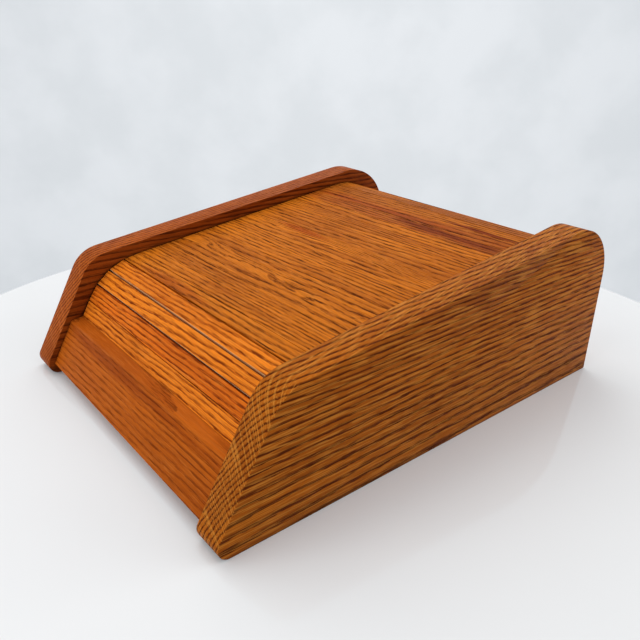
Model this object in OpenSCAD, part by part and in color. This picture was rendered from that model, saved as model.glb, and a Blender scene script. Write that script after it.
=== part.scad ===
// Tambour lid box in oiled red oak.
// X runs across the box, Y runs back from the front, Z is up.
// The origin is at the middle of the underside of the box's bounding box.

/* [Side panels] */
// Overall width of the box
box_w = 254; // [220:1:300]
// Thickness of each side panel
panel_t = 20.5; // [16:0.5:24]
// Depth of a side panel along the table, measured to its square front corner
panel_depth = 341.4; // [320:0.2:380]
// Height of the back edge, measured to its square top corner
panel_height = 126.2; // [118:0.2:150]
// Slope of the top edge, in degrees
top_slope = 8.4; // [7:0.1:10]
// Lean of the front edge above the table, in degrees
front_lean = 62; // [60:0.5:66]
// Lean of the back edge away from plumb, in degrees
back_lean = 2.3; // [0:0.1:3]
// Radius of the foot of the front edge
foot_r = 7.5; // [4:0.5:10]
// Radius where the front edge meets the top edge
brow_r = 25.4; // [18:0.2:30]
// Radius where the top edge meets the back edge
crown_r = 43; // [34:0.5:48]

/* [Tambour track] */
// Depth of the closed lid below the top edges of the side panels
lid_inset = 8.6; // [7:0.1:11]
// Depth of the closed lid behind the front edges of the side panels
lid_setback = 11; // [9:0.1:13]
// Radius of the lid's face where it turns down at the front
front_bend_r = 50.8; // [46:0.2:56]
// Radius of the lid's face where it turns down at the back
rear_bend_r = 41; // [38:0.5:44]
// Distance from the back corner of the side panels to the lid's rear drop
rear_inset = 14.4; // [13:0.1:17]
// Radius of the slats' inner face where the track turns forward at its foot
foot_bend_r = 22; // [20:0.5:25]
// Clearance between the tail of the tambour and the floor of the box
tail_clear = 5; // [4:0.2:7]
// Part of the rear bend that the closed tambour covers, in degrees
tail_turn = 56; // [54:1:62]
// Depth of the track grooves in the side panels
groove_depth = 5.5; // [4:0.5:8]
// Running clearance of a tongue in its groove, on each side
groove_clear = 0.25; // [0.2:0.05:0.4]

/* [Slats] */
// Thickness of a slat
slat_t = 4.4; // [3.6:0.1:5]
// Thickness of the cloth backing glued under the slats
backing_t = 0.4; // [0.3:0.05:0.6]
// Gap between neighbouring slats
slat_gap = 0.12; // [0.08:0.02:0.3]
// Gap between the slats and the inner faces of the side panels
end_gap = 0.8; // [0.5:0.1:1.2]
// Depth of the shoulder above the tongue at each end of a sliding slat
shoulder = 1.6; // [1.2:0.1:2]
// Length of the tongue at each end of a sliding slat
tongue_l = 5; // [3.5:0.1:5.4]
// Chamfer on the long edges of a slat
slat_chamfer = 0.15; // [0.1:0.05:0.6]
// Margin between the ends of the slats and the ends of the backing
backing_margin = 3; // [2:0.5:6]

/* [Boards] */
// Thickness of the front board
board_t = 12.7; // [11:0.1:15]
// Setback of the front board behind the front edges of the side panels
board_setback = 4.3; // [3:0.1:6]
// Height of the front board's upper front edge above the table
board_top = 38.6; // [36:0.2:44]
// Height of the floor's underside above the table
floor_rise = 8; // [6:0.5:10]
// Thickness of the floor
floor_t = 6.35; // [5:0.05:8]
// Depth of the housings that hold the floor and the back board
housing_depth = 5; // [3:0.5:7]
// Thickness of the back board
back_t = 8; // [6:0.5:9]
// Clearance between the tambour's rear bend and the back board
bend_clear = 2.2; // [1.8:0.1:2.8]
// Fitting gap round the floor and the back board in their housings
fit_gap = 0.05; // [0.02:0.01:0.1]

/* [Dowels] */
// Diameter of the front board's dowels
dowel_d = 6; // [5:0.5:7]
// Length of a dowel on each side of the joint
dowel_reach = 14; // [10:1:18]
// Distance of each dowel from the upper and lower edges of the front board
dowel_edge = 9; // [7:0.5:12]

/* [Hidden] */
$fn = 96;

// Slats 1 to 5 bend at the front, 6 to 14 stay on the straight track, 15 to 24 bend at the back
slat_count = 24;
first_sliding = 6;
last_sliding = 14;
// The lid opens by this many slats
open_slats = 7;
// A cut runs this far past the solid that it cuts
past = 1;

function dir(angle) = [cos(angle), sin(angle)];
function normal(angle) = [-sin(angle), cos(angle)];
function unit(v) = v / norm(v);
function mean(v) = v * [for (i = v) 1] / len(v);
function arc_length(radius, angle) = radius * angle * PI / 180;
function turn_of(length, radius) = length / radius * 180 / PI;

// ---- Side panel outline, with the square front corner at [0, 0]
top_back = [panel_depth - panel_height * tan(back_lean), panel_height];
front_top_y = (top_back[1] - top_back[0] * tan(top_slope)) / (tan(front_lean) - tan(top_slope));
front_top = [front_top_y, front_top_y * tan(front_lean)];
outline = [[0, 0], front_top, top_back, [panel_depth, 0]];
radii = [foot_r, brow_r, crown_r, 0];

function half_angle(i) = let(
        a = unit(outline[(i + 3) % 4] - outline[i]),
        b = unit(outline[(i + 1) % 4] - outline[i])) acos(a * b) / 2;
function round_centre(i) = let(
        a = unit(outline[(i + 3) % 4] - outline[i]),
        b = unit(outline[(i + 1) % 4] - outline[i]))
    outline[i] + unit(a + b) * radii[i] / sin(half_angle(i));
function round_start(i, neighbour) =
    outline[i] + unit(outline[neighbour] - outline[i]) * radii[i] / tan(half_angle(i));

// The foot's round is the foremost point, and the box is centred on its own depth
foremost = round_centre(0)[0] - foot_r;
middle_y = (foremost + panel_depth) / 2;
inner_w = box_w - 2 * panel_t;

// ---- Track: the lid's face, its pivot line and any line between, by depth below the face
pivot_depth = slat_t + backing_t;
top_line = front_top + normal(top_slope) * -lid_inset;
front_line = normal(front_lean) * -lid_setback;
// Where the straight front and top runs of the lid's face would meet
face_corner = front_line + dir(front_lean)
    * ((top_line - front_line) * normal(top_slope)) / (dir(front_lean) * normal(top_slope));
front_turn = front_lean - top_slope;
front_centre = face_corner
    + unit(dir(top_slope) - dir(front_lean)) * front_bend_r / cos(front_turn / 2);
drop_y = panel_depth - rear_inset;
rear_turn = top_slope + 90;
rear_centre = let(
        y = drop_y - rear_bend_r,
        flat_y = front_centre[0] - front_bend_r * sin(top_slope),
        flat_z = front_centre[1] + front_bend_r * cos(top_slope))
    [y, flat_z + (y - flat_y) * tan(top_slope) - rear_bend_r / cos(top_slope)];
flat_run = (rear_centre - front_centre) * dir(top_slope);
floor_top = floor_rise + floor_t;
foot_centre = [drop_y - pivot_depth - foot_bend_r, floor_top + tail_clear + pivot_depth + foot_bend_r];
drop_run = rear_centre[1] - foot_centre[1];

// Distances run back along the pivot line from the start of the flat run
front_pivot_r = front_bend_r - pivot_depth;
rear_pivot_r = rear_bend_r - pivot_depth;
rear_bend_end = flat_run + arc_length(rear_pivot_r, rear_turn);
foot_start = rear_bend_end + drop_run;

function tangent(s) =
    s < 0 ? min(front_lean, top_slope + turn_of(-s, front_pivot_r))
    : s < flat_run ? top_slope
    : s < rear_bend_end ? top_slope - turn_of(s - flat_run, rear_pivot_r)
    : s < foot_start ? -90
    : max(-180, -90 - turn_of(s - foot_start, foot_bend_r));

// ---- Front board: its face, and the line of its top edge
board_front = dir(front_lean) * (board_top / sin(front_lean)) + [board_setback / sin(front_lean), 0];
seat_gap = 0.3;
seat_line = board_front + normal(top_slope) * seat_gap;
// The lower edge of the lead slat rests above the board, on the straight front run
lead_foot = front_line + dir(front_lean)
    * ((seat_line - front_line) * normal(top_slope)) / (dir(front_lean) * normal(top_slope));
front_bend_foot = front_centre + normal(front_lean) * front_bend_r;
lead_start = -arc_length(front_pivot_r, front_turn) - (front_bend_foot - lead_foot) * dir(front_lean);
tail_end = flat_run + arc_length(rear_pivot_r, tail_turn);
// The slats cover the lid from end to end, and the sliding ones start on the flat run
pitch = max((tail_end - lead_start) / slat_count, -lead_start / (first_sliding - 1));
travel = open_slats * pitch;

// ---- Rest pose of the chain of slats
samples = 16;
function tilt(i) = mean([for (j = [0.5 : samples]) tangent(lead_start + (i - 1 + j / samples) * pitch)]);
tilts = [for (i = [0 : slat_count]) i == 0 ? 0 : tilt(i)];
first_pivot = front_centre + normal(top_slope) * front_pivot_r
    + dir(top_slope) * (lead_start + (first_sliding - 1) * pitch);
// pivot(i) is the joint between slat i and slat i + 1
function pivot(i) =
    i == first_sliding - 1 ? first_pivot
    : i < first_sliding - 1 ? pivot(i + 1) - dir(tilts[i + 1]) * pitch
    : pivot(i - 1) + dir(tilts[i]) * pitch;

// ---- Helpers for solids that run across the box
module across(half_w) {
    translate([-half_w, -middle_y, 0]) rotate([90, 0, 90]) linear_extrude(2 * half_w) children();
}
module on_slat(i) {
    translate(pivot(i - 1)) rotate(tilts[i]) children();
}
// Bands of the track between two depths below the lid's face
function bend(centre, radius, from, to) =
    let(steps = ceil(abs(to - from) / 6))
    [for (j = [0 : steps]) centre + normal(from + (to - from) * j / steps) * radius];
// The track starts at the closed lid's lower edge, front_end below the front bend
function track_line(depth, front_end) = concat(
    [front_bend_foot - normal(front_lean) * depth - dir(front_lean) * front_end],
    bend(front_centre, front_bend_r - depth, front_lean, top_slope),
    bend(rear_centre, rear_bend_r - depth, top_slope, -90),
    bend(foot_centre, foot_bend_r + pivot_depth - depth, -90, -180));
function reversed(v) = [for (i = [len(v) - 1 : -1 : 0]) v[i]];
lead_run = (front_bend_foot - lead_foot) * dir(front_lean);
module track_band(from, to) {
    polygon(concat(track_line(from, lead_run), reversed(track_line(to, lead_run))));
}

// ---- Side panels
// What comes off one square corner of the outline to leave its round
module corner_waste(i) {
    difference() {
        polygon([round_start(i, (i + 3) % 4), outline[i] + unit(outline[i] - round_centre(i)) * past,
            round_start(i, (i + 1) % 4)]);
        translate(round_centre(i)) circle(radii[i]);
    }
}
module panel_outline() {
    difference() {
        polygon(outline);
        for (i = [0 : 2]) corner_waste(i);
    }
}
module side_panel() {
    color("peru") difference() {
        translate([inner_w / 2, -middle_y, 0]) rotate([90, 0, 90]) linear_extrude(panel_t) panel_outline();
        across(inner_w / 2 + groove_depth) track_band(shoulder - groove_clear, slat_t + groove_clear);
        across(inner_w / 2 + housing_depth) {
            offset_square(floor_front, back_inner, floor_rise, floor_top, fit_gap);
            offset_square(back_inner, back_inner + back_t, floor_rise, back_shoulder, fit_gap);
        }
        dowels();
    }
}
module offset_square(y0, y1, z0, z1, gap) {
    translate([y0 - gap, z0 - gap]) square([y1 - y0 + 2 * gap, z1 - z0 + 2 * gap]);
}
module side_panel_right() {
    side_panel();
}
module side_panel_left() {
    mirror([1, 0, 0]) side_panel();
}

// ---- Front board
board_back = board_front + normal(front_lean) * -board_t;
board_back_top = board_front + dir(top_slope) * board_t / sin(front_turn);
function on_board(point, z) = point + dir(front_lean) * (z - point[1]) / sin(front_lean);
module front_board() {
    color("chocolate") difference() {
        across(inner_w / 2)
            polygon([on_board(board_front, floor_rise), board_front, board_back_top,
                on_board(board_back, floor_rise)]);
        dowels();
    }
}
board_mid = board_front + normal(front_lean) * -board_t / 2;
dowel_spots = [board_mid - dir(front_lean) * dowel_edge,
    on_board(board_mid, floor_rise) + dir(front_lean) * dowel_edge];
module dowels() {
    for (side = [-1, 1], spot = dowel_spots)
        translate([side * inner_w / 2, spot[0] - middle_y, spot[1]])
            rotate([0, 90, 0]) cylinder(h = 2 * dowel_reach, d = dowel_d, center = true);
}
module front_dowels() {
    color("burlywood") dowels();
}

// ---- Floor and back board
floor_front = on_board(board_back, floor_rise)[0];
back_inner = drop_y + bend_clear;
back_outer = back_inner + back_t;
// The floor's front edge is bevelled to lie along the back of the front board
module floor_panel() {
    color("tan") across(inner_w / 2 + housing_depth - fit_gap)
        polygon([on_board(board_back, floor_rise) + [fit_gap, 0], on_board(board_back, floor_top) + [fit_gap, 0],
            [back_inner - fit_gap, floor_top], [back_inner - fit_gap, floor_rise]]);
}
// The board's top is rounded over to a thin lip that covers the tail of the closed tambour
lip_r = rear_bend_r;
// Part of the tail, in degrees, that the lip leaves uncovered
lip_short = 2;
lip_turn = 90 - (tail_turn - top_slope) + lip_short;
// The outer round starts this far below the centre of the rear bend, which leaves the lip its thickness
shoulder_drop = 3;
back_shoulder = rear_centre[1] - shoulder_drop;
lip_centre = [back_outer - lip_r, back_shoulder];
lip_top = rear_centre[1] + (rear_bend_r + bend_clear) * sin(lip_turn);
module back_profile() {
    difference() {
        intersection() {
            union() {
                translate([back_outer - lip_r, floor_rise]) square([lip_r, back_shoulder - floor_rise]);
                translate(lip_centre) circle(lip_r);
            }
            translate([0, floor_rise]) square([panel_depth, lip_top - floor_rise]);
        }
        translate([back_inner - 2 * lip_r, 0]) square([2 * lip_r, rear_centre[1]]);
        translate(rear_centre) circle(rear_bend_r + bend_clear);
    }
}
module back_board() {
    color("sienna") {
        across(inner_w / 2) back_profile();
        across(inner_w / 2 + housing_depth - fit_gap)
            translate([back_inner, floor_rise]) square([back_t, back_shoulder - floor_rise]);
    }
}

// ---- Tambour
shoulder_w = inner_w / 2 - end_gap;
function section(from, to, low, high, c) = [
    [from, low], [to, low], [to, high - c], [to - c, high], [from + c, high], [from, high - c]];
// The lead slat's lower edge is cut parallel to the top edge of the front board
lead_skew = 1 / tan(front_turn);
function lead_cut(v) = lead_offset + (pivot_depth - v) * lead_skew;
lead_offset = (lead_foot - (pivot(0) + normal(tilts[1]) * pivot_depth)) * dir(tilts[1]);
module slat_body(i) {
    if (i == 1)
        polygon([[lead_cut(backing_t), backing_t], [pitch - slat_gap / 2, backing_t],
            [pitch - slat_gap / 2, pivot_depth - slat_chamfer],
            [pitch - slat_gap / 2 - slat_chamfer, pivot_depth], [lead_cut(pivot_depth), pivot_depth]]);
    else
        polygon(section(slat_gap / 2, pitch - slat_gap / 2, backing_t, pivot_depth, slat_chamfer));
}
module slat(i) {
    color(i % 2 == 0 ? "darkorange" : "orange") {
        across(shoulder_w) on_slat(i) slat_body(i);
        if (i >= first_sliding && i <= last_sliding)
            across(inner_w / 2 + tongue_l) on_slat(i)
                translate([slat_gap / 2, backing_t])
                    square([pitch - slat_gap, slat_t - shoulder]);
    }
}
backing_w = shoulder_w - backing_margin;
module backing(i) {
    color("wheat") across(backing_w) on_slat(i)
        if (i == 1)
            polygon([[lead_cut(0), 0], [pitch - slat_gap / 2, 0],
                [pitch - slat_gap / 2, backing_t], [lead_cut(backing_t), backing_t]]);
        else
            translate([slat_gap / 2, 0]) square([pitch - slat_gap, backing_t]);
}
module backing_flat() {
    color("wheat") across(backing_w) on_slat(first_sliding)
        translate([slat_gap / 2, 0])
            square([(last_sliding - first_sliding + 1) * pitch - slat_gap, backing_t]);
}

function number(i) = str(i < 10 ? "0" : "", i);

side_panel_left();
side_panel_right();
front_board();
back_board();
floor_panel();
front_dowels();
backing_flat();
for (i = [1 : slat_count])
    slat(i);
for (i = [1 : slat_count])
    if (i < first_sliding || i > last_sliding)
        backing(i);
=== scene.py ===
# %% [markdown]
# # Tambour lid box in oiled oak
# A desk box for papers, with a lid of narrow slats that slides back under the rounded rear.
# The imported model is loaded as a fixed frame: every solid is already in its place, in metres.
# X runs across the box, Y runs back from the front, and Z is up.

# %% Load the frame
import math

import bpy
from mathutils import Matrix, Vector


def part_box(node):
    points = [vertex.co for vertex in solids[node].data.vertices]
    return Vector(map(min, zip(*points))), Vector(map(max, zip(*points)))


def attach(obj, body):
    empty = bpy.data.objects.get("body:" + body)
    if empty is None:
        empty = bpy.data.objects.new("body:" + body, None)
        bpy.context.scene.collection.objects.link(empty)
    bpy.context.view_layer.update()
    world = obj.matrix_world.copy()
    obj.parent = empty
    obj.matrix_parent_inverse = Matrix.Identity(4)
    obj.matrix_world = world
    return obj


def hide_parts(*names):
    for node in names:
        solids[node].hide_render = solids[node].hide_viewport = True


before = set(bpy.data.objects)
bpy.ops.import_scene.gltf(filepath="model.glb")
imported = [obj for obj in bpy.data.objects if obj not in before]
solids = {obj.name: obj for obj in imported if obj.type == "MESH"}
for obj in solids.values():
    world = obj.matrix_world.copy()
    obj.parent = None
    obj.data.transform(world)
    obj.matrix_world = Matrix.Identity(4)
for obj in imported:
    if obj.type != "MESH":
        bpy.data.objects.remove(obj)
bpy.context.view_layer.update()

# %% [markdown]
# ## The camera
# The viewpoint was worked out from the box's own edges in the photograph. It is high, in front of
# the right front corner, with a normal lens. It comes first, so that every later piece can be judged
# through it.

# %% Camera
lens = bpy.data.cameras.new("view_camera")
lens.lens = 36.29
lens.sensor_width = 36
camera = bpy.data.objects.new("view_camera", lens)
camera.location = (0.33534, -0.28704, 0.23996)
camera.rotation_euler = [math.radians(angle) for angle in (65.5125, -1.8597, 50.3114)]
bpy.context.scene.collection.objects.link(camera)
bpy.context.scene.camera = camera
print("camera at", tuple(round(c, 3) for c in camera.location))

# %% [markdown]
# ## Helpers for node trees
# Materials and node groups are built from the same few kinds of node, so short helpers keep the
# later cells readable. Each helper adds one node, joins its inputs and gives back its output socket.

# %% Node helpers
def add(tree, kind, **settings):
    node = tree.nodes.new(kind)
    for name, value in settings.items():
        setattr(node, name, value)
    return node


def feed(tree, socket, value):
    if isinstance(value, bpy.types.NodeSocket):
        tree.links.new(value, socket)
    elif value is not None:
        socket.default_value = value


def maths(tree, operation, a, b=None, c=None):
    node = add(tree, "ShaderNodeMath", operation=operation)
    for socket, value in zip(node.inputs, (a, b, c)):
        feed(tree, socket, value)
    return node.outputs[0]


def vector_maths(tree, operation, a, b=None, output=0):
    node = add(tree, "ShaderNodeVectorMath", operation=operation)
    for socket, value in zip(node.inputs, (a, b)):
        feed(tree, socket, value)
    return node.outputs[output]


def spread(tree, value, low, high, to_low=0.0, to_high=1.0):
    node = add(tree, "ShaderNodeMapRange", interpolation_type="SMOOTHSTEP")
    for socket, item in zip(node.inputs, (value, low, high, to_low, to_high)):
        feed(tree, socket, item)
    return node.outputs[0]


def noise(tree, vector, stretch, detail=1.0):
    node = add(tree, "ShaderNodeTexNoise")
    feed(tree, node.inputs["Vector"], vector_maths(tree, "MULTIPLY", vector, stretch))
    node.inputs["Scale"].default_value = 1.0
    node.inputs["Detail"].default_value = detail
    return node


print("maths and noise helpers ready")

# %% [markdown]
# ## Helpers for colours and groups
# A node group is made once and used in many materials, so that each material only sets its values.
# Colours are written as they read on a screen, which is how they are judged against the photograph.

# %% Colour and group helpers
def mix(tree, share, a, b, blend="MIX"):
    node = add(tree, "ShaderNodeMix", data_type="RGBA", blend_type=blend)
    feed(tree, node.inputs["Factor"], share)
    feed(tree, node.inputs["A"], a)
    feed(tree, node.inputs["B"], b)
    return node.outputs["Result"]


def new_group(name, inputs, outputs):
    group = bpy.data.node_groups.new(name, "ShaderNodeTree")
    for title, kind, value in inputs:
        socket = group.interface.new_socket(title, in_out="INPUT", socket_type="NodeSocket" + kind)
        if value is not None:
            socket.default_value = value
    for title, kind in outputs:
        group.interface.new_socket(title, in_out="OUTPUT", socket_type="NodeSocket" + kind)
    return group, add(group, "NodeGroupInput").outputs, add(group, "NodeGroupOutput").inputs


def tone(red, green, blue):
    """A colour as it reads on a screen, from 0 to 255, turned into the linear values that Blender uses."""
    shares = (red / 255, green / 255, blue / 255)
    linear = [v / 12.92 if v <= 0.04045 else ((v + 0.055) / 1.055) ** 2.4 for v in shares]
    return (*linear, 1.0)


print("mid grey is", tuple(round(c, 3) for c in tone(128, 128, 128)))

# %% [markdown]
# ## The oak figure
# Oak can be painted on as a flat picture, but then the figure doesn't turn the corners of a board.
# This group works in the solid instead: it is a slice of a tree. Its vector is the board's own
# place in the log, with X along the grain and the pith on the X axis. Growth rings are cylinders
# round the pith, slightly conical and wavy. The open pores are fine dashes that lie in each ring's
# early wood, and the rays are thin sheets that stand out from the pith. Any face cut through it then
# shows what a sawn face shows: cathedrals, straight lines, or the dots and pale rays of end grain.

# %% Oak figure group
oak, have, give = new_group(
    "oak_figure",
    [("Board", "Vector", None), ("Ring Width", "Float", 0.0026), ("Run Out", "Float", 0.03),
     ("Waviness", "Float", 0.004), ("Light Wood", "Color", tone(196, 116, 52)),
     ("Early Wood", "Color", tone(150, 76, 28)), ("Pore", "Color", tone(84, 38, 14)),
     ("Ray", "Color", tone(222, 158, 96)), ("Ring Strength", "Float", 0.7),
     ("Pore Strength", "Float", 0.8), ("Ray Strength", "Float", 0.25), ("Cloudiness", "Float", 0.25),
     ("Fibre Strength", "Float", 0.3), ("Ripple", "Float", 0.0014)],
    [("Color", "Color"), ("Roughness", "Float"), ("Height", "Float")],
)
place = have["Board"]
print("oak inputs and outputs", len(oak.interface.items_tree))

# %% [markdown]
# ## Growth rings
# A year's ring is pale dense wood with a darker porous band at its start. The distance from the pith,
# divided by the width of a ring, says which year a point grew in, and the fraction that is left says
# when in that year. Slow noise makes the rings wavy, and fine noise makes their edges shiver.

# %% Growth rings
# Slow waves in the grain
drift = noise(oak, place, (5.0, 26.0, 26.0), 2.0).outputs["Color"]
wave = vector_maths(oak, "SUBTRACT", drift, (0.5, 0.5, 0.5))
wave_scale = add(oak, "ShaderNodeVectorMath", operation="SCALE")
feed(oak, wave_scale.inputs[0], wave)
feed(oak, wave_scale.inputs["Scale"], have["Waviness"])
wavy = vector_maths(oak, "ADD", place, wave_scale.outputs[0])
shiver = noise(oak, place, (75.0, 240.0, 240.0), 2.0).outputs["Fac"]
ripple = maths(oak, "MULTIPLY", maths(oak, "SUBTRACT", shiver, 0.5), have["Ripple"])
# Distance from the pith, and how far through its year's growth each point is
around = add(oak, "ShaderNodeSeparateXYZ")
feed(oak, around.inputs[0], wavy)
flat = add(oak, "ShaderNodeCombineXYZ")
feed(oak, flat.inputs["Y"], around.outputs["Y"])
feed(oak, flat.inputs["Z"], around.outputs["Z"])
from_pith = vector_maths(oak, "LENGTH", flat.outputs[0], output=1)
cone = maths(oak, "MULTIPLY", around.outputs["X"], have["Run Out"])
radius = maths(oak, "ADD", maths(oak, "SUBTRACT", from_pith, cone), ripple)
uneven = maths(oak, "MULTIPLY", noise(oak, wavy, (2.0, 35.0, 35.0), 0.0).outputs["Fac"], 1.6)
year = maths(oak, "FRACT", maths(oak, "ADD", maths(oak, "DIVIDE", radius, have["Ring Width"]), uneven))
early = maths(oak, "MULTIPLY", spread(oak, year, 0.0, 0.06), spread(oak, year, 0.58, 0.22))
print("nodes with the rings", len(oak.nodes))

# %% [markdown]
# ## Pores, rays and clouds
# All of these are noises stretched along the grain. The pores and rays are cut off sharply, so that they
# come out as marks and not as haze. The clouds keep soft edges.

# %% Pores, rays and clouds
# Pores: fine dashes along the grain, most of them in the early wood
fine = spread(oak, noise(oak, wavy, (110.0, 2500.0, 2500.0), 1.0).outputs["Fac"], 0.49, 0.58)
coarse = spread(oak, noise(oak, wavy, (50.0, 1250.0, 1250.0), 2.0).outputs["Fac"], 0.50, 0.58)
bedded = maths(oak, "MULTIPLY_ADD", early, 0.72, 0.28)
pores = maths(oak, "MULTIPLY", maths(oak, "MAXIMUM", maths(oak, "MULTIPLY", fine, 0.7), coarse), bedded)
# Rays: the noise is finest round the pith, so its blobs become thin sheets that stand on the pith
ray_scale_round = 170.0
ray_scale_along = 45.0
ray_scale_out = 16.0
angle = maths(oak, "ARCTAN2", around.outputs["Y"], around.outputs["Z"])
sheet_place = add(oak, "ShaderNodeCombineXYZ")
feed(oak, sheet_place.inputs["X"], maths(oak, "MULTIPLY", around.outputs["X"], ray_scale_along))
feed(oak, sheet_place.inputs["Y"], maths(oak, "MULTIPLY", angle, ray_scale_round))
feed(oak, sheet_place.inputs["Z"], maths(oak, "MULTIPLY", from_pith, ray_scale_out))
rays = spread(oak, noise(oak, sheet_place.outputs[0], (1.0, 1.0, 1.0), 0.0).outputs["Fac"], 0.55, 0.63)
# Clouds of darker and lighter wood along the board
cloud = spread(oak, noise(oak, place, (7.0, 42.0, 42.0), 2.0).outputs["Fac"], 0.36, 0.66)
# Paler fibres run between the pores
fibres = spread(oak, noise(oak, wavy, (48.0, 900.0, 900.0), 2.0).outputs["Fac"], 0.44, 0.36)
print("nodes with the marks", len(oak.nodes))

# %% [markdown]
# ## The figure's colours
# Each mark is mixed over the wood in turn, and the pores come last, because the dark oil that they hold
# covers all else. They are also rougher and lie lower.

# %% Figure colours
ring_share = maths(oak, "MULTIPLY", early, have["Ring Strength"])
ringed = mix(oak, ring_share, have["Light Wood"], have["Early Wood"])
clouded = mix(oak, maths(oak, "MULTIPLY", cloud, have["Cloudiness"]), ringed, have["Early Wood"])
fibred = mix(oak, maths(oak, "MULTIPLY", fibres, have["Fibre Strength"]), clouded, have["Ray"])
rayed = mix(oak, maths(oak, "MULTIPLY", rays, have["Ray Strength"]), fibred, have["Ray"])
pored = mix(oak, maths(oak, "MULTIPLY", pores, have["Pore Strength"]), rayed, have["Pore"])
feed(oak, give["Color"], pored)
feed(oak, give["Roughness"], spread(oak, pores, 0.0, 1.0, 0.42, 0.65))
feed(oak, give["Height"], maths(oak, "MULTIPLY", pores, -1.0))
print("oak figure nodes", len(oak.nodes))

# %% [markdown]
# ## The smear group
# Single features of the photographed lid, such as a reddish patch or a dark streak, sit at one place
# on one board. A soft mask with a noisy edge puts them there, in the board's own coordinates. The
# same mask lays painted shade along the top of the front board.

# %% Smear group
smear, have, give = new_group(
    "smear",
    [("Board", "Vector", None), ("Centre", "Vector", (0.0, 0.0, 0.0)),
     ("Half Size", "Vector", (0.05, 0.005, 1.0))],
    [("Mask", "Float")],
)
from_centre = vector_maths(smear, "SUBTRACT", have["Board"], have["Centre"])
reach = vector_maths(smear, "LENGTH", vector_maths(smear, "DIVIDE", from_centre, have["Half Size"]), output=1)
streaks = noise(smear, have["Board"], (22.0, 260.0, 260.0), 3.0).outputs["Fac"]
broken = maths(smear, "MULTIPLY_ADD", streaks, 1.3, -0.65)
feed(smear, give["Mask"], spread(smear, maths(smear, "ADD", reach, broken), 1.15, 0.45))
print("smear nodes", len(smear.nodes))

# %% [markdown]
# ## The joint edge and the worn, highlit arris
# Where the lid bends at the front its joints open, and a pale line of cloth fibre and old glue shows
# on a slat's lower edge; it is partly painted light, which brightens the joint where shade falls. One
# group masks that edge of a slat. Another finds the rounded arrises of a panel, which handling has
# rubbed paler and which also take a painted highlight: their normals lie between those of the two
# faces. It also gives a mask of the panel's broad flat faces, where painted shade is laid.

# %% Joint edge and arris groups
joint_edge, have, give = new_group(
    "joint_edge",
    [("Board", "Vector", None), ("Wall", "Float", 0.0), ("Width", "Float", 0.0003)],
    [("Mask", "Float")],
)
edge_place = add(joint_edge, "ShaderNodeSeparateXYZ")
feed(joint_edge, edge_place.inputs[0], have["Board"])
edge_far = maths(joint_edge, "ADD", have["Wall"], have["Width"])
edge_fibres = noise(joint_edge, have["Board"], (60.0, 900.0, 900.0), 2.0).outputs["Fac"]
# Pale lint, also painted light in the shaded joint
edge_lint_and_light_mask = spread(joint_edge, edge_fibres, 0.30, 0.45)
at_edge = spread(joint_edge, edge_place.outputs["Y"], edge_far, have["Wall"])
feed(joint_edge, give["Mask"], maths(joint_edge, "MULTIPLY", at_edge, edge_lint_and_light_mask))

# Masks for arrises paler from wear and a painted highlight, and for broad faces that take painted shade
arris_and_face_masks, have, give = new_group(
    "arris_wear_highlight_and_face_shade",
    [("Normal", "Vector", None), ("Board", "Vector", None)],
    [("Mask", "Float"), ("Flat", "Float")],
)
worn_normal = add(arris_and_face_masks, "ShaderNodeSeparateXYZ")
feed(arris_and_face_masks, worn_normal.inputs[0], have["Normal"])
sideways = maths(arris_and_face_masks, "ABSOLUTE", worn_normal.outputs["X"])
between = maths(arris_and_face_masks, "MULTIPLY", spread(arris_and_face_masks, sideways, 0.2, 0.5), spread(arris_and_face_masks, sideways, 0.97, 0.8))
patchy = spread(arris_and_face_masks, noise(arris_and_face_masks, have["Board"], (70.0, 70.0, 70.0), 3.0).outputs["Fac"], 0.35, 0.6)
feed(arris_and_face_masks, give["Mask"], maths(arris_and_face_masks, "MULTIPLY", between, patchy))
feed(arris_and_face_masks, give["Flat"], spread(arris_and_face_masks, sideways, 0.9, 0.98))
print("joint edge nodes", len(joint_edge.nodes), "worn arris nodes", len(arris_and_face_masks.nodes))

# %% [markdown]
# ## An oak material
# Each board gets its own material: the same figure, sawn from its own place in the log. The Mapping
# node turns the object's coordinates so that X runs along the grain, and moves the pith to where that
# board was cut. Some boards also take single patches, lint or wear over their figure, and some take
# painted light and shade.

# %% Patches, lint, wear and painted shade
crevice_shade_reach = 0.005  # painted shade, with some dirt, darkens a panel within this distance of the lid
# Painted shade, with some dirt, in the crevice between a panel and the lid
dirt_and_shade = tone(34, 13, 5)
# Painted shade on a panel's broad side faces
side_face_shade_tone = tone(180, 160, 140)
# Paler arrises, from wear and a painted highlight
worn_highlight_tone = tone(226, 150, 84)
worn_highlight_share = 0.55


def smeared(tree, place, colour, smears):
    """The colour with a tinted patch for each smear: its centre, half size, tint and strength."""
    for centre, half_size, patch, strength in smears:
        mask = add(tree, "ShaderNodeGroup", node_tree=smear)
        feed(tree, mask.inputs["Board"], place)
        mask.inputs["Centre"].default_value = centre
        mask.inputs["Half Size"].default_value = half_size
        colour = mix(tree, maths(tree, "MULTIPLY", mask.outputs["Mask"], strength), colour, patch, "MULTIPLY")
    return colour


def with_lint_and_light(tree, board, colour, edge):
    """The colour with pale lint and painted light along a slat's lower edge: the edge's place, tint and
    strength.
    """
    wall, tint, strength = edge
    mask = add(tree, "ShaderNodeGroup", node_tree=joint_edge)
    feed(tree, mask.inputs["Board"], board)
    mask.inputs["Wall"].default_value = wall
    # Pale lint, with painted light that brightens the shaded joint
    return mix(tree, maths(tree, "MULTIPLY", mask.outputs["Mask"], strength), colour, tint)


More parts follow.
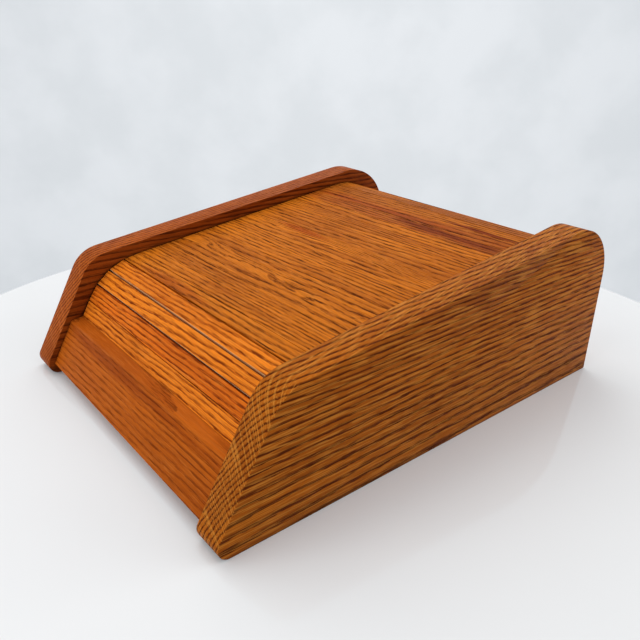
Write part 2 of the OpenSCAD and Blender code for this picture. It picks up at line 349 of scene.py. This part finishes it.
def painted_shade_and_wear(tree, board, colour, shade_on_faces):
    """A panel's colour, with painted shade and some dirt near the lid, painted shade on its broad side faces,
    and arrises paler from wear and a painted highlight.
    """
    # Painted shade, with some dirt: ambient occlusion darkens the panel where it comes close to the lid
    crevice_shade = add(tree, "ShaderNodeAmbientOcclusion", samples=8)
    crevice_shade.inputs["Distance"].default_value = crevice_shade_reach
    colour = mix(tree, spread(tree, crevice_shade.outputs["AO"], 0.25, 0.75, 0.95, 0.0), colour, dirt_and_shade)
    mask = add(tree, "ShaderNodeGroup", node_tree=arris_and_face_masks)
    feed(tree, mask.inputs["Normal"], add(tree, "ShaderNodeTexCoord").outputs["Normal"])
    feed(tree, mask.inputs["Board"], board)
    # Painted shade: the broad side faces are darkened
    side_face_shade_share = maths(tree, "MULTIPLY", mask.outputs["Flat"], shade_on_faces)
    colour = mix(tree, side_face_shade_share, colour, side_face_shade_tone, "MULTIPLY")
    # Arrises paler from wear, with a painted highlight
    return mix(tree, maths(tree, "MULTIPLY", mask.outputs["Mask"], worn_highlight_share), colour, worn_highlight_tone)


print("a panel is dirty within", crevice_shade_reach, "m of the lid")

# %% [markdown]
# ## Putting the material together
# Rubbed oil leaves the pores open and the shine very low, so there is no coat, and the pores are sunk a
# little by a bump.

# %% Oak material
oil_shine = 0.03
pore_bump = 0.35
pore_relief = 0.0003


def oak_material(name, turn, shift, values, smears=(), edge=None, shade_on_faces=None):
    """Oak sawn from its own place in the log. For a panel, the last argument says how much painted shade
    darkens its broad side faces.
    """
    material = bpy.data.materials.new(name)
    material.use_nodes = True
    tree = material.node_tree
    finish = tree.nodes["Principled BSDF"]
    place = add(tree, "ShaderNodeTexCoord").outputs["Object"]
    mapping = add(tree, "ShaderNodeMapping", vector_type="POINT")
    feed(tree, mapping.inputs["Vector"], place)
    mapping.inputs["Rotation"].default_value = [math.radians(a) for a in turn]
    mapping.inputs["Location"].default_value = shift
    figure = add(tree, "ShaderNodeGroup", node_tree=oak)
    feed(tree, figure.inputs["Board"], mapping.outputs[0])
    for title, value in values.items():
        figure.inputs[title].default_value = value
    colour = smeared(tree, place, figure.outputs["Color"], smears)
    if edge:
        colour = with_lint_and_light(tree, mapping.outputs[0], colour, edge)
    if shade_on_faces is not None:
        colour = painted_shade_and_wear(tree, mapping.outputs[0], colour, shade_on_faces)
    bump = add(tree, "ShaderNodeBump")
    bump.inputs["Strength"].default_value = pore_bump
    bump.inputs["Distance"].default_value = pore_relief
    feed(tree, bump.inputs["Height"], figure.outputs["Height"])
    feed(tree, finish.inputs["Base Color"], colour)
    feed(tree, finish.inputs["Roughness"], figure.outputs["Roughness"])
    feed(tree, finish.inputs["Normal"], bump.outputs[0])
    finish.inputs["Specular IOR Level"].default_value = oil_shine
    return material


def dress(piece, material):
    piece.data.materials.clear()
    piece.data.materials.append(material)


print("oak material ready, shine", oil_shine)

# %% [markdown]
# ## Side panels
# Each side is one thick board with its grain along the depth. Its outer face shows close, slightly
# wavy lines that open out towards the bottom, so the pith lay low and some way off: near the bottom the
# saw runs along the rings, and near the top across them. The cut ends of the grain on the slanting
# front edge then show pores crossed by pale rays, without any extra work.
# The edges are worn soft. A copy of each solid is cleaned and given a small bevel, because a CAD
# solid's own mesh is never changed.

# %% Softened copies
bevel_from = math.radians(35)
bevel_steps = 3
smooth_below = math.radians(40)
weld = 0.000002
flat_within = math.radians(0.5)


def only(piece):
    bpy.ops.object.select_all(action="DESELECT")
    piece.select_set(True)
    bpy.context.view_layer.objects.active = piece


def softened(node, name, body, ease):
    """A copy of a solid with its edges rounded by ease, in metres, which stands for the solid."""
    piece = solids[node].copy()
    piece.data = solids[node].data.copy()
    piece.name = name
    piece.data.name = name
    piece.parent = None
    for key in list(piece.keys()):
        del piece[key]
    bpy.context.scene.collection.objects.link(piece)
    only(piece)
    bpy.ops.object.mode_set(mode="EDIT")
    bpy.ops.mesh.select_all(action="SELECT")
    bpy.ops.mesh.remove_doubles(threshold=weld)
    bpy.ops.mesh.dissolve_limited(angle_limit=flat_within)
    bpy.ops.object.mode_set(mode="OBJECT")
    bevel = piece.modifiers.new("eased_edges", "BEVEL")
    bevel.width = ease
    bevel.segments = bevel_steps
    bevel.limit_method = "ANGLE"
    bevel.angle_limit = bevel_from
    bevel.harden_normals = False
    bpy.ops.object.modifier_apply(modifier="eased_edges")
    bpy.ops.object.shade_smooth_by_angle(angle=smooth_below)
    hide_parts(node)
    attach(piece, body)
    print(name, "faces", len(piece.data.polygons))
    return piece

# %% [markdown]
# ## The two panels' oak
# The right panel is golden brown with dark lines. The left one is redder and plainer, so it takes the
# same values and changes only what differs.

# %% Side panel materials
side_values = {
    "Ring Width": 0.0028, "Run Out": 0.008, "Waviness": 0.004,
    "Light Wood": tone(178, 95, 20), "Early Wood": tone(90, 33, 4),
    "Pore": tone(54, 19, 2), "Ray": tone(216, 140, 54),
    "Ring Strength": 0.88, "Pore Strength": 0.55, "Ray Strength": 0.45,
    "Cloudiness": 0.3, "Fibre Strength": 0.35, "Ripple": 0.0016,
}
# The last argument darkens each panel's broad side faces as painted shade
# Turned by -90 degrees about Z, a point's X in the log is its Y in the box
right_side_oak = oak_material("right_side_oak", (0, 0, -90), (0.31, 0.225, 0.026), side_values, shade_on_faces=0.2)
left_values = {
    **side_values,
    "Light Wood": tone(178, 86, 26), "Early Wood": tone(104, 40, 8), "Ray": tone(204, 110, 44),
    "Ring Strength": 0.75, "Pore Strength": 0.6, "Ray Strength": 0.3,
}
left_side_oak = oak_material("left_side_oak", (0, 0, -90), (0.77, 0.02, 0.034), left_values, shade_on_faces=0.75)
side_ease = 0.0011
side_panel_right = softened("side_panel_right", "right_side", "box", side_ease)
side_panel_left = softened("side_panel_left", "left_side", "box", side_ease)
dress(side_panel_right, right_side_oak)
dress(side_panel_left, left_side_oak)

# %% [markdown]
# ## Front board, back board and floor
# The front board is smoother and redder than the lid, and its face is darkened along the top with painted
# shade.
# Its grain runs across the box. The photograph doesn't show the back board, and shows of the floor only
# the gap under the front, so their oak is a guess: the same wood, and unoiled and paler on the floor.

# %% Boards
board_values = {
    "Ring Width": 0.0026, "Run Out": 0.02, "Waviness": 0.006,
    "Light Wood": tone(190, 94, 20), "Early Wood": tone(144, 62, 12),
    "Pore": tone(98, 38, 6), "Ray": tone(210, 118, 44),
    "Ring Strength": 0.4, "Pore Strength": 0.65, "Ray Strength": 0.12,
    "Cloudiness": 0.4, "Fibre Strength": 0.25,
}
# Painted shade along the top of the front board's face
front_top_shade = [((0.0, -0.150, 0.034), (0.14, 0.0045, 0.0045), tone(176, 128, 100), 0.4)]
front_oak = oak_material("front_board_oak", (-62, 0, 0), (0.2, 0.27, 0.06), board_values, front_top_shade)
back_values = {
    **board_values,
    "Light Wood": tone(188, 98, 26), "Early Wood": tone(136, 60, 12), "Fibre Strength": 0.4,
}
back_oak = oak_material("back_board_oak", (90, 0, 0), (0.5, 0.05, -0.03), back_values)
floor_values = {**board_values, "Light Wood": tone(196, 138, 84), "Early Wood": tone(164, 104, 56)}
floor_oak = oak_material("floor_oak", (0, 0, 0), (0.9, 0.35, 0.05), floor_values)
front_piece = softened("front_board", "front_rail", "box", 0.0006)
dress(front_piece, front_oak)
back_piece = softened("back_board", "back_rail", "box", 0.0005)
dress(back_piece, back_oak)
dress(solids["floor_panel"], floor_oak)

# %% [markdown]
# ## Dowels
# The dowels are hidden and guessed. They are made as plain beech, pale and close. The oak group serves
# for it too, with its rings and pores turned down.

# %% Dowels
beech_values = {
    "Ring Width": 0.004, "Run Out": 0.01, "Waviness": 0.002,
    "Light Wood": tone(214, 178, 132), "Early Wood": tone(196, 154, 108),
    "Pore": tone(168, 122, 80), "Ray": tone(226, 196, 152),
    "Ring Strength": 0.3, "Pore Strength": 0.25, "Ray Strength": 0.2,
    "Cloudiness": 0.2,
}
dress(solids["front_dowels"], oak_material("dowel_beech", (0, 0, 0), (0.1, 0.12, 0.08), beech_values))
print("dowels dressed")

# %% [markdown]
# ## The slats
# The slats are strips sawn from boards. Each slat's own slope is measured from its solid, and the
# Mapping node turns it level: X runs across the box, Y across the slat from the middle of its board, and
# Z up from the pith. The strips don't all seem to be kept in their order, so each one is also shifted in
# the log, which gives each its own figure.

# %% Measure a slat
def slat_slope(piece):
    """The slat's slope in degrees, from its broad outer face."""
    broad = {}
    for face in piece.data.polygons:
        if face.normal.z > 0.1:
            key = round(math.degrees(math.atan2(-face.normal.y, face.normal.z)), 1)
            broad[key] = broad.get(key, 0.0) + face.area
    return max(broad, key=broad.get)


def levelled(piece, slope):
    """Where the slat starts and where its face lies, once it is turned level."""
    turn = math.radians(slope)
    along = [v.co.y * math.cos(turn) + v.co.z * math.sin(turn) for v in piece.data.vertices]
    above = [v.co.z * math.cos(turn) - v.co.y * math.sin(turn) for v in piece.data.vertices]
    return min(along), max(along), max(above)


slat_names = sorted(name for name in solids if name.startswith("slat_"))
slopes = {name: slat_slope(solids[name]) for name in slat_names}
print("slopes", slopes)

# %% [markdown]
# ## The slats' oak
# Slats 1 to 4 are the brightest in the photograph. A few others are darker, redder or wavier, and a
# smear marks the patches that stand out. The rest share one set of values.

# %% Slat materials
lid_values = {
    "Ring Width": 0.0024, "Run Out": 0.02, "Waviness": 0.008,
    "Light Wood": tone(212, 117, 24), "Early Wood": tone(152, 72, 10),
    "Pore": tone(70, 26, 4), "Ray": tone(226, 140, 54),
    "Ring Strength": 0.55, "Pore Strength": 0.95, "Ray Strength": 0.12,
    "Cloudiness": 0.6, "Fibre Strength": 0.3, "Ripple": 0.0016,
}
front_values = {
    **lid_values, "Ring Width": 0.0023,
    "Light Wood": tone(240, 132, 32), "Early Wood": tone(178, 82, 16), "Pore": tone(112, 42, 6),
    "Ring Strength": 0.75, "Cloudiness": 0.4,
}
last_front_slat = 4


def slat_values(number):
    values = dict(front_values if number <= last_front_slat else lid_values)
    if number == 2:
        values["Light Wood"], values["Early Wood"] = tone(232, 116, 24), tone(166, 68, 12)
    if number in (9, 14):
        values["Waviness"], values["Ring Width"] = 0.032, 0.0018
    if number in (19, 20):
        values["Light Wood"], values["Early Wood"] = tone(184, 94, 24), tone(132, 58, 12)
    if number in (21, 22):
        values["Light Wood"], values["Early Wood"] = tone(196, 108, 30), tone(142, 68, 14)
    return values


print("slat 2 is toned", slat_values(2)["Light Wood"] != front_values["Light Wood"])

# %% [markdown]
# ## Dressing the slats
# Each slat gets its place in the log, its patches and any lint, and then its own material.

# %% Dress the slats
# Distance of each strip from the middle of its board, in millimetres: farther out, the lines run
# straighter, and at nought they would be a cathedral
strip_places = [
    38, 52, 33, 47, 30, 44, 58, 27, 22, 31, 36, 49,
    24, 20, 28, 41, 55, 34, 47, 29, 44, 37, 51, 33,
]
# How much pale lint, with painted light where the joint is in shade, shows on the lower edge of the slats
# above the two open joints
joint_light_and_lint_strength = {3: 0.6, 4: 0.9}
# Pale lint tone, also painted light in the shaded joint
joint_light_and_lint_tone = tone(214, 180, 132)
# How far apart the slats lie along the log, how far out from its pith, and the step between the three
# distances that they take in turn
log_step, pith_distance, distance_step = 0.13, 0.042, 0.003


def slat_smears(number):
    """Patches of the photographed lid, at their places in the box: centre, half size, tint and strength."""
    red = tone(216, 160, 120)
    dark = tone(168, 112, 80)
    return {
        5: [((-0.035, -0.100, 0.078), (0.050, 0.005, 0.02), red, 0.4)],
        14: [((-0.042, 0.015, 0.092), (0.036, 0.005, 0.02), red, 0.7)],
        19: [((0.050, 0.076, 0.103), (0.055, 0.005, 0.02), dark, 0.7)],
        20: [((-0.02, 0.085, 0.104), (0.12, 0.004, 0.02), red, 0.5)],
        21: [((0.062, 0.096, 0.106), (0.045, 0.0022, 0.02), dark, 0.9)],
    }.get(number, ())


for name in slat_names:
    number = int(name[-2:])
    start, end, face = levelled(solids[name], slopes[name])
    from_middle = strip_places[number - 1] / 1000
    shift = (log_step * number, -(start + end) / 2 + from_middle,
             pith_distance + distance_step * (number % 3) - face)
    # Pale lint, with painted light in the shaded joint
    joint_lint_and_light = joint_light_and_lint_strength.get(number, 0.0)
    edge = (from_middle - (end - start) / 2, joint_light_and_lint_tone, joint_lint_and_light) if joint_lint_and_light else None
    oak_finish = oak_material(
        f"{name}_oak", (-slopes[name], 0, 0), shift, slat_values(number), slat_smears(number), edge=edge)
    dress(solids[name], oak_finish)
print("slat materials", len(slat_names))

# %% [markdown]
# ## The cloth backing
# The slats are held together by a cotton cloth glued under them, which is a guess from the pale lines
# at the front joints. It would be one sheet on the real lid. Here each moving slat carries its own strip,
# because each one is a body of its own, and the strips meet behind the joints. Each strip is a fine grid
# with a little thickness, reaches a hair past its slat at both joints so that no light comes through, and
# has slightly uneven ends at the panels.

# %% Cloth material
weave, have, give = new_group(
    "plain_weave",
    [("Cloth", "Vector", None), ("Threads Per Metre", "Float", 1800.0),
     ("Light Thread", "Color", tone(206, 188, 160)), ("Dark Thread", "Color", tone(146, 124, 96))],
    [("Color", "Color"), ("Height", "Float")],
)
threads = add(weave, "ShaderNodeVectorMath", operation="SCALE")
feed(weave, threads.inputs[0], have["Cloth"])
feed(weave, threads.inputs["Scale"], have["Threads Per Metre"])
thread = add(weave, "ShaderNodeSeparateXYZ")
feed(weave, thread.inputs[0], threads.outputs[0])
warp = maths(weave, "ABSOLUTE", maths(weave, "SINE", maths(weave, "MULTIPLY", thread.outputs["X"], math.pi)))
weft = maths(weave, "ABSOLUTE", maths(weave, "SINE", maths(weave, "MULTIPLY", thread.outputs["Y"], math.pi)))
over = maths(weave, "MULTIPLY", warp, weft)
feed(weave, give["Height"], over)
slub = noise(weave, have["Cloth"], (300.0, 300.0, 300.0), 2.0).outputs["Fac"]
woven = mix(weave, spread(weave, over, 0.1, 0.7), have["Dark Thread"], have["Light Thread"])
feed(weave, give["Color"], mix(weave, spread(weave, slub, 0.4, 0.7), woven, have["Light Thread"]))

cotton = bpy.data.materials.new("backing_cotton")
cotton.use_nodes = True
cotton_tree = cotton.node_tree
cotton_finish = cotton_tree.nodes["Principled BSDF"]
cotton_weave = add(cotton_tree, "ShaderNodeGroup", node_tree=weave)
feed(cotton_tree, cotton_weave.inputs["Cloth"], add(cotton_tree, "ShaderNodeTexCoord").outputs["UV"])
cotton_bump = add(cotton_tree, "ShaderNodeBump")
cotton_bump.inputs["Strength"].default_value = 0.5
cotton_bump.inputs["Distance"].default_value = 0.0002
feed(cotton_tree, cotton_bump.inputs["Height"], cotton_weave.outputs["Height"])
feed(cotton_tree, cotton_finish.inputs["Base Color"], cotton_weave.outputs["Color"])
feed(cotton_tree, cotton_finish.inputs["Normal"], cotton_bump.outputs[0])
cotton_finish.inputs["Roughness"].default_value = 0.9
cotton_finish.inputs["Sheen Weight"].default_value = 0.2
print("weave nodes", len(weave.nodes))

# %% [markdown]
# ## Cutting the strips
# A strip's length and slope come from its CAD solid. A flat grid is laid out with its cloth coordinates
# in metres, so that the threads have one size on every strip, and then turned to the slope and given
# its thickness.

# %% Cloth strips
cloth_t = 0.0004
overlap = 0.00008
cells_across = 64
cell_length = 0.0031
fewest_cells = 4
fray = 0.0004
fray_turn = 2.7  # radians from one point to the next, so that the end's waviness doesn't repeat
grid_end = 0.499  # a point of the 1 m grid farther out than this is on its end row


def cloth_strip(node, slat, body):
    """A woven strip under one slat, or under the run of sliding slats."""
    slope = slopes[slat]
    turn = math.radians(slope)
    start, end, _ = levelled(solids[node], slope)
    low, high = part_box(node)
    corners = solids[node].data.vertices
    under = min(v.co.z * math.cos(turn) - v.co.y * math.sin(turn) for v in corners)
    width, length = high.x - low.x, end - start + 2 * overlap
    cells_along = max(fewest_cells, round(length / cell_length))
    bpy.ops.object.select_all(action="DESELECT")
    bpy.ops.mesh.primitive_grid_add(
        x_subdivisions=cells_across, y_subdivisions=cells_along, size=1.0, location=(0, 0, 0))
    strip = bpy.context.active_object
    strip.name = node.replace("backing", "cloth")
    strip.data.name = strip.name
    for corner in strip.data.uv_layers.active.data:
        corner.uv = (corner.uv[0] * width, corner.uv[1] * length)
    for number, point in enumerate(strip.data.vertices):
        x, along = point.co.x * width, start - overlap + (point.co.y + 0.5) * length
        if abs(point.co.x) > grid_end:
            x -= math.copysign(fray * (0.5 + 0.5 * math.sin(number * fray_turn)), x)
        y = along * math.cos(turn) - under * math.sin(turn)
        z = along * math.sin(turn) + under * math.cos(turn)
        point.co = (x, y, z)
    thick = strip.modifiers.new("cloth_thickness", "SOLIDIFY")
    thick.thickness = cloth_t
    thick.offset = 1.0
    bpy.ops.object.modifier_apply(modifier="cloth_thickness")
    bpy.ops.object.shade_smooth_by_angle(angle=smooth_below)
    dress(strip, cotton)
    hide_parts(node)
    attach(strip, body)
    return strip, (width, length)


strips = {}
for node in sorted(name for name in solids if name.startswith("backing_")):
    number = node[-2:]
    if node == "backing_flat":
        strips[node] = cloth_strip(node, "slat_06", "sliding_slats")
    else:
        strips[node] = cloth_strip(node, "slat_" + number, "link_" + number)
print("cloth strips", {node: round(size[1] * 1000, 2) for node, (_, size) in strips.items()})

# %% [markdown]
# ## The shortest strip
# The strip under the lead slat is only 9 mm long, because that slat's lower edge is cut back, and a
# sheet has to be 10 mm or more. So that one strip is left undeclared, though it is the front end of the
# same cloth.

del strips["backing_01"]
print("sheets declared", len(strips))

# %% [markdown]
# ## Table
# The box stands on a round white table with a glossy top. It is a stage piece, not part of the object:
# a cylinder with a rounded rim, a hair below the box's feet.

# %% Table
table_radius = 0.345
table_thickness = 0.03
table_centre = (0.010, 0.012, -0.0151)
bpy.ops.object.select_all(action="DESELECT")
bpy.ops.mesh.primitive_cylinder_add(
    vertices=192, radius=table_radius, depth=table_thickness, location=table_centre)
table = bpy.context.active_object
table.name = "table_top"
rim = table.modifiers.new("round_rim", "BEVEL")
rim.width = 0.008
rim.segments = 6
rim.limit_method = "ANGLE"
bpy.ops.object.modifier_apply(modifier="round_rim")
bpy.ops.object.shade_smooth_by_angle(angle=math.radians(35))
glaze = bpy.data.materials.new("white_gloss")
glaze.use_nodes = True
glaze_finish = glaze.node_tree.nodes["Principled BSDF"]
glaze_finish.inputs["Base Color"].default_value = (0.81, 0.81, 0.805, 1)
glaze_finish.inputs["Roughness"].default_value = 0.07
glaze_finish.inputs["Specular IOR Level"].default_value = 0.45
dress(table, glaze)
print("table radius", table_radius)

# %% [markdown]
# ## Wall
# Behind stands a pale plastered wall, nearly square to the view. It is a stage piece too: a plane with
# soft clouds of two near whites. The real wall's fine marks are left out.

# %% Wall
wall_place = (-1.55, 1.33, 0.3)
wall_turn = (math.radians(90), 0, math.radians(49.4))
wall_dark, wall_light = (0.86, 0.88, 0.89, 1), (0.93, 0.945, 0.955, 1)
bpy.ops.object.select_all(action="DESELECT")
bpy.ops.mesh.primitive_plane_add(size=7.0, location=wall_place, rotation=wall_turn)
wall = bpy.context.active_object
wall.name = "wall"
plaster = bpy.data.materials.new("plaster")
plaster.use_nodes = True
plaster_tree = plaster.node_tree
plaster_finish = plaster_tree.nodes["Principled BSDF"]
plaster_place = add(plaster_tree, "ShaderNodeTexCoord").outputs["Object"]
patches = noise(plaster_tree, plaster_place, (3.0, 3.0, 3.0), 4.0).outputs["Fac"]
wall_colour = mix(plaster_tree, spread(plaster_tree, patches, 0.35, 0.65), wall_dark, wall_light)
feed(plaster_tree, plaster_finish.inputs["Base Color"], wall_colour)
plaster_finish.inputs["Roughness"].default_value = 0.9
dress(wall, plaster)
print("wall at", wall_place)

# %% [markdown]
# ## Light
# One broad soft lamp stands high on the left, which leaves the right side of the box in gentle shade
# as in the photograph. Weaker ones fill from the front and from behind on the right, and the world gives
# an even pale light. The lamps don't show in the glossy table, where they would leave hard bright shapes.

# %% Lamps and world
def area_lamp(name, spot, target, size, power, colour):
    lamp = bpy.data.lights.new(name, "AREA")
    lamp.shape = "RECTANGLE"
    lamp.size, lamp.size_y = size
    lamp.energy = power
    lamp.color = colour
    stand = bpy.data.objects.new(name, lamp)
    stand.location = spot
    stand.rotation_euler = (Vector(target) - Vector(spot)).to_track_quat("-Z", "Y").to_euler()
    stand.visible_glossy = False
    bpy.context.scene.collection.objects.link(stand)
    print(name, power, "W")


box_middle = (0.0, 0.0, 0.05)
area_lamp("window_lamp", (-0.9, 0.25, 1.5), box_middle, (1.8, 1.6), 12, (1.0, 0.985, 0.96))
area_lamp("fill_lamp", (-0.3, -1.5, 1.1), box_middle, (1.4, 1.2), 8.5, (1.0, 1.0, 1.0))
area_lamp("room_lamp", (0.9, 1.3, 0.8), (0.1, 0.1, 0.05), (1.2, 1.0), 7, (1.0, 0.99, 0.97))
world = bpy.data.worlds.new("pale_room")
bpy.context.scene.world = world
world.use_nodes = True
sky = world.node_tree.nodes["Background"]
sky.inputs["Color"].default_value = (0.93, 0.96, 1.0, 1)
sky.inputs["Strength"].default_value = 0.74
bpy.context.scene.view_settings.view_transform = "Standard"
